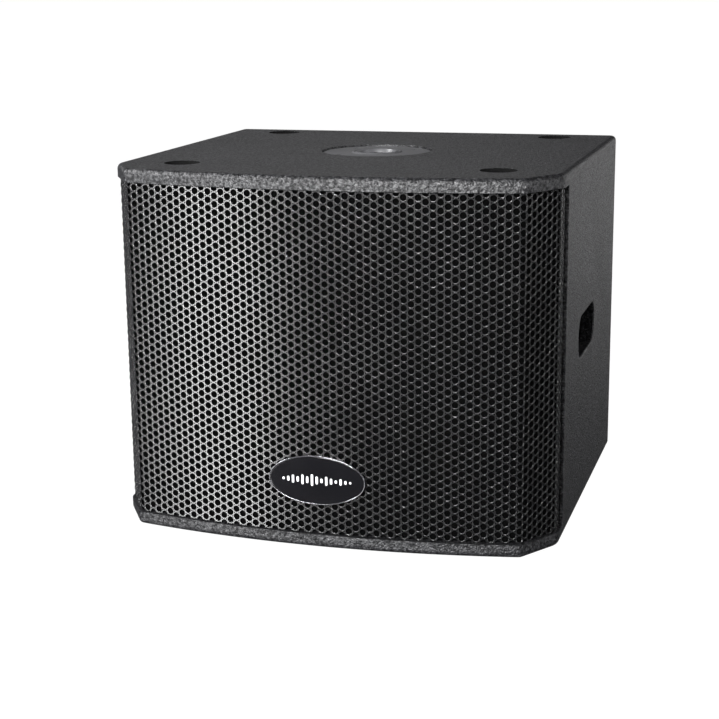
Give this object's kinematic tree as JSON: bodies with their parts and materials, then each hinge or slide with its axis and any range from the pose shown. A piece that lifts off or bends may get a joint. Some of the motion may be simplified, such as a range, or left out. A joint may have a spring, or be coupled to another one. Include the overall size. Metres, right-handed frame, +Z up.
{
  "type": "subwoofer cabinet",
  "caption": "Active bass loudspeaker: painted wooden cabinet with bowed perforated steel grille, recessed pole socket, hand slots and rear amplifier.",
  "frame": {"origin": "on the floor under the middle of the cabinet's box", "axes": "+Z up, the grille faces -Y, +X to the right seen from the front"},
  "size_m": [0.506, 0.4779, 0.418],
  "materials": {
    "top_panel": "plywood under sprayed, finely textured black paint",
    "bottom_panel": "plywood under sprayed, finely textured black paint",
    "left_side_panel": "plywood under sprayed, finely textured black paint",
    "right_side_panel": "plywood under sprayed, finely textured black paint",
    "back_panel": "plywood under sprayed, finely textured black paint",
    "baffle": "plywood, thin matt black stain",
    "window_brace": "bare plywood",
    "grille_battens": "plywood, thin matt black stain",
    "damping_wool": "loose polyester wadding",
    "grille": "satin black powder coat",
    "grille_foam": "open-cell acoustic foam",
    "grille_screws": "blackened steel",
    "badge_plate": "polished black",
    "badge_rim": "polished rim",
    "pole_socket": "die-cast, satin black",
    "pole_screws": "blackened steel",
    "left_handle_cup": "moulded black plastic, fine grain",
    "right_handle_cup": "moulded black plastic, fine grain",
    "handle_screws": "zinc plated",
    "foot_front_left": "matt black rubber",
    "foot_front_right": "matt black rubber",
    "foot_rear_left": "matt black rubber",
    "foot_rear_right": "matt black rubber",
    "foot_screws": "zinc plated",
    "left_port": "moulded black plastic, fine grain",
    "right_port": "moulded black plastic, fine grain",
    "woofer_basket": "cast and black coated",
    "woofer_gasket": "foam rubber",
    "woofer_surround": "half roll",
    "woofer_cone": "pressed paper pulp, coated",
    "dust_cap": "pressed paper pulp, coated",
    "voice_coil": "copper winding on a former",
    "woofer_spider": "resin-stiffened cloth",
    "woofer_top_plate": "zinc plated",
    "woofer_magnet": "ferrite",
    "woofer_yoke": "zinc plated",
    "woofer_terminals": "tinned tags on a board",
    "woofer_screws": "blackened steel",
    "speaker_cable": "two-core sheathed cable",
    "amp_panel": "satin black sheet",
    "amp_tub": "plain folded sheet",
    "heatsink": "black anodised extrusion",
    "circuit_board": "solder-masked laminate",
    "transformer": "lacquered copper winding",
    "capacitors": "sleeved cans",
    "amp_screws": "blackened steel",
    "mains_inlet": "moulded black",
    "fuse_cap": "moulded black",
    "power_rocker": "moulded red",
    "input_sockets": "moulded black insert in a metal shell",
    "left_release_tab": "zinc plated",
    "right_release_tab": "zinc plated",
    "output_sockets": "moulded black insert with plated pins",
    "potentiometers": "zinc plated",
    "level_knob": "moulded black plastic, fine grain",
    "crossover_knob": "moulded black plastic, fine grain",
    "phase_switch_body": "moulded",
    "phase_slider": "moulded white",
    "indicator_lenses": "clear tinted lens"
  },
  "bodies": {
    "cabinet": {"top_panel": "top_panel", "bottom_panel": "bottom_panel", "left_side_panel": "left_side_panel", "right_side_panel": "right_side_panel", "back_panel": "back_panel", "baffle": "baffle", "window_brace": "window_brace", "grille_battens": "grille_battens", "damping_wool": "damping_wool", "grille": "grille", "grille_foam": "grille_foam", "grille_screws": "grille_screws", "badge_plate": "badge_plate", "badge_rim": "badge_rim", "pole_socket": "pole_socket", "pole_screws": "pole_screws", "left_handle_cup": "left_handle_cup", "right_handle_cup": "right_handle_cup", "handle_screws": "handle_screws", "foot_front_left": "foot_front_left", "foot_front_right": "foot_front_right", "foot_rear_left": "foot_rear_left", "foot_rear_right": "foot_rear_right", "foot_screws": "foot_screws", "left_port": "left_port", "right_port": "right_port", "woofer_basket": "woofer_basket", "woofer_gasket": "woofer_gasket", "woofer_surround": "woofer_surround", "woofer_spider": "woofer_spider", "woofer_top_plate": "woofer_top_plate", "woofer_magnet": "woofer_magnet", "woofer_yoke": "woofer_yoke", "woofer_terminals": "woofer_terminals", "woofer_screws": "woofer_screws", "speaker_cable": "speaker_cable", "amp_panel": "amp_panel", "amp_tub": "amp_tub", "heatsink": "heatsink", "circuit_board": "circuit_board", "transformer": "transformer", "capacitors": "capacitors", "amp_screws": "amp_screws", "mains_inlet": "mains_inlet", "input_sockets": "input_sockets", "output_sockets": "output_sockets", "potentiometers": "potentiometers", "phase_switch_body": "phase_switch_body", "indicator_lenses": "indicator_lenses"},
    "cone_assembly": {"woofer_cone": "woofer_cone", "dust_cap": "dust_cap", "voice_coil": "voice_coil"},
    "level_knob": {"level_knob": "level_knob"},
    "crossover_knob": {"crossover_knob": "crossover_knob"},
    "power_rocker": {"power_rocker": "power_rocker"},
    "fuse_cap": {"fuse_cap": "fuse_cap"},
    "left_release_tab": {"left_release_tab": "left_release_tab"},
    "right_release_tab": {"right_release_tab": "right_release_tab"},
    "phase_slider": {"phase_slider": "phase_slider"}
  },
  "joints": [
    {"name": "cone_travel", "type": "slide", "parent": "cabinet", "child": "cone_assembly", "axis": [0, -1, 0], "range_m": [-0.005, 0.005], "stiffness_N_per_m": 2400, "deforming": ["woofer_surround", "woofer_spider"]},
    {"name": "level_turn", "type": "hinge", "parent": "cabinet", "child": "level_knob", "pos_m": [0.012, 0.212, 0.244], "axis": [0, 1, 0], "range_deg": [-150, 150]},
    {"name": "crossover_turn", "type": "hinge", "parent": "cabinet", "child": "crossover_knob", "pos_m": [0.012, 0.212, 0.189], "axis": [0, 1, 0], "range_deg": [-150, 150]},
    {"name": "rocker_press", "type": "hinge", "parent": "cabinet", "child": "power_rocker", "pos_m": [-0.07, 0.211, 0.134], "axis": [-1, 0, 0], "range_deg": [0, 16]},
    {"name": "fuse_cap_turn", "type": "hinge", "parent": "cabinet", "child": "fuse_cap", "pos_m": [0, 0.212, 0.114], "axis": [0, 1, 0], "range_deg": [0, 90]},
    {"name": "left_tab_press", "type": "slide", "parent": "cabinet", "child": "left_release_tab", "axis": [0, -1, 0], "range_m": [0, 0.0015], "stiffness_N_per_m": 400},
    {"name": "right_tab_press", "type": "slide", "parent": "cabinet", "child": "right_release_tab", "axis": [0, -1, 0], "range_m": [0, 0.0015], "stiffness_N_per_m": 400},
    {"name": "phase_slide", "type": "slide", "parent": "cabinet", "child": "phase_slider", "axis": [1, 0, 0], "range_m": [0, 0.005]}
  ]
}
